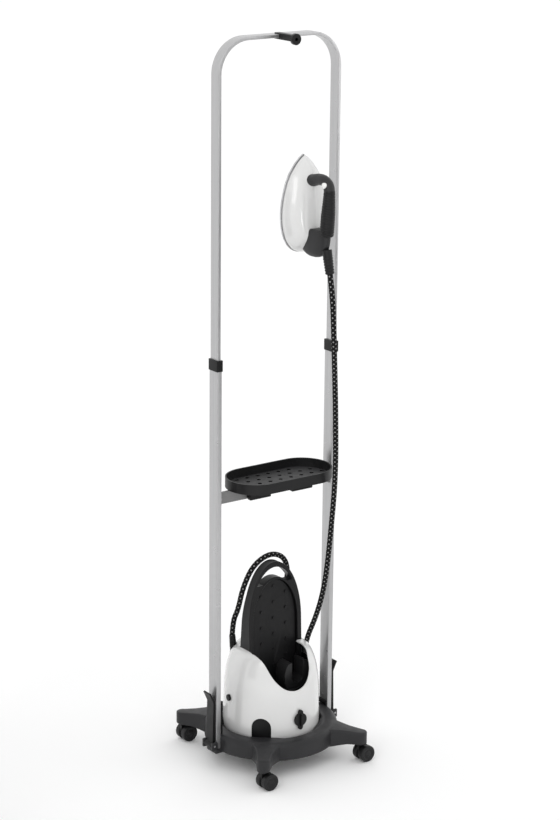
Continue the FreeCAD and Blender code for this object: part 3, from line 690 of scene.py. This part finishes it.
HANDLE_LINE = [(-93, 1427), (-112, 1431), (-130, 1435.6), (-147, 1436.0), (-160, 1431.6),
               (-167.5, 1424), (-170, 1412.6)]
handle_pts = [mm(IRON_X, y, z) for y, z in catmull(HANDLE_LINE, 8)]
handle_r = [0.013 + 0.0035 * math.exp(-i / 6.0) - 0.0003 * min(1.0, i / 20.0)
            for i in range(len(handle_pts))]
tube("iron_handle_post", handle_pts, handle_r, 40, "iron", "heel",
     slot="black_plastic", replaces=("iron_handle",))
GRIP = [(1413.0, -170.0, 12.7), (1411.0, -170.0, 13.3), (1394, -169.3, 14.3), (1377, -168, 15.3),
        (1363, -166.8, 16.0), (1349, -165.5, 16.4), (1330, -164.2, 16.4), (1318, -163.4, 15.9),
        (1312, -162.6, 15.0)]
GRIP_PITCH = 5.8
grip_line = catmull([(y, z) for z, y, r in GRIP], 24)
grip_r = [p[0] for p in catmull([(r, z) for z, y, r in GRIP], 24)]
grip_rad = [(r - 1.1 * max(0.0, math.sin(2 * math.pi * z / GRIP_PITCH)) ** 1.5) / 1000
            for (y, z), r in zip(grip_line, grip_r)]
tube("iron_grip_sleeve", [mm(IRON_X, y, z) for y, z in grip_line], grip_rad, 48, "iron", "grip",
     slot="pad_rubber", replaces=("handle_grip",))
dome = [(0.4, 0.0)] + [(6.6 * math.sin(math.radians(9 * k)), 2.6 - 2.6 * math.cos(math.radians(9 * k)))
                       for k in range(1, 11)]
button = dome + [(6.6, 11.4), (6.0, 12.0), (0.4, 12.0)]
TRIGGER_BASE = (8.5, -166.5, 1428.0)
piece("steam_trigger_button", [lathe_data(button, TRIGGER_BASE, (1, 0, 0), 32)],
      "steam_trigger", "button", "steam_trigger")

# ------------------------------------------------------------------ floor, light, camera
bpy.ops.mesh.primitive_plane_add(size=30, location=(0, 0, 0))
floor = bpy.context.object
floor.name = "floor"
floor.data.materials.append(new_material("floor_white", (0.97, 0.97, 0.97), 0.9, spec=0.1)[0])

world = bpy.data.worlds.new("studio")
bpy.context.scene.world = world
world.use_nodes = True
world.node_tree.nodes["Background"].inputs["Color"].default_value = (1, 1, 1, 1)
world.node_tree.nodes["Background"].inputs["Strength"].default_value = 1.06


def area(name, loc, target, size, power, size_y=None):
    data = bpy.data.lights.new(name, "AREA")
    data.shape = "RECTANGLE" if size_y else "SQUARE"
    data.size = size
    if size_y:
        data.size_y = size_y
    data.energy = power
    obj = bpy.data.objects.new(name, data)
    obj.location = loc
    obj.rotation_euler = (Vector(target) - Vector(loc)).to_track_quat("-Z", "Y").to_euler()
    bpy.context.scene.collection.objects.link(obj)


area("key_left", (-2.6, -1.6, 2.6), (0, 0, 0.8), 1.2, 18, 2.0)
area("fill_right", (2.4, -2.4, 1.6), (0, 0, 0.7), 0.8, 6, 2.0)
area("edge_front", (-0.9, -2.2, 0.85), (0, 0, 0.35), 0.07, 3, 0.9)


def card(name, centre, target, width, height):
    """Dark card out of the camera's sight that gives gloss and metal something to mirror."""
    bpy.ops.mesh.primitive_plane_add(size=1, location=centre)
    obj = bpy.context.object
    obj.name = name
    obj.scale = (width, height, 1)
    obj.rotation_euler = (Vector(target) - Vector(centre)).to_track_quat("-Z", "Y").to_euler()
    obj.visible_camera = False
    obj.data.materials.append(CARD)


CARD = new_material("card_dark", (0.03, 0.03, 0.03), 0.9, spec=0.1)[0]
card("card_left", (-1.15, -0.15, 0.95), (0, 0, 0.95), 0.42, 1.5)
card("card_right", (1.0, -1.5, 0.85), (0, 0, 0.75), 0.5, 1.3)
card("card_front", (-0.35, -1.9, 1.0), (0, 0, 1.0), 0.30, 1.6)

CAM_PLACE = (-3.08625, -4.29542, 2.39613)
CAM_TURN, CAM_TILT, CAM_ROLL = -35.853, 16.105, 0.604         # degrees
FOCAL, FRAME_HIGH, SENSOR = 2340.98, 820.0, 36.0              # focal length in 820ths of the frame's height
cam_data = bpy.data.cameras.new("camera")
cam = bpy.data.objects.new("camera", cam_data)
bpy.context.scene.collection.objects.link(cam)
yaw, pitch, roll = math.radians(CAM_TURN), math.radians(CAM_TILT), math.radians(CAM_ROLL)
back = Vector((math.sin(yaw) * math.cos(pitch), -math.cos(yaw) * math.cos(pitch),
               math.sin(pitch)))
right = (-back).cross(Vector((0, 0, 1))).normalized()
up = right.cross(-back)
r2 = right * math.cos(roll) + up * math.sin(roll)
u2 = up * math.cos(roll) - right * math.sin(roll)
rot = Matrix((r2, u2, back)).transposed().to_4x4()
cam.matrix_world = Matrix.Translation(CAM_PLACE) @ rot
cam_data.sensor_width = SENSOR
cam_data.lens = SENSOR * FOCAL / FRAME_HIGH
cam_data.clip_end = 60
bpy.context.scene.camera = cam
bpy.context.scene.view_settings.view_transform = "Standard"
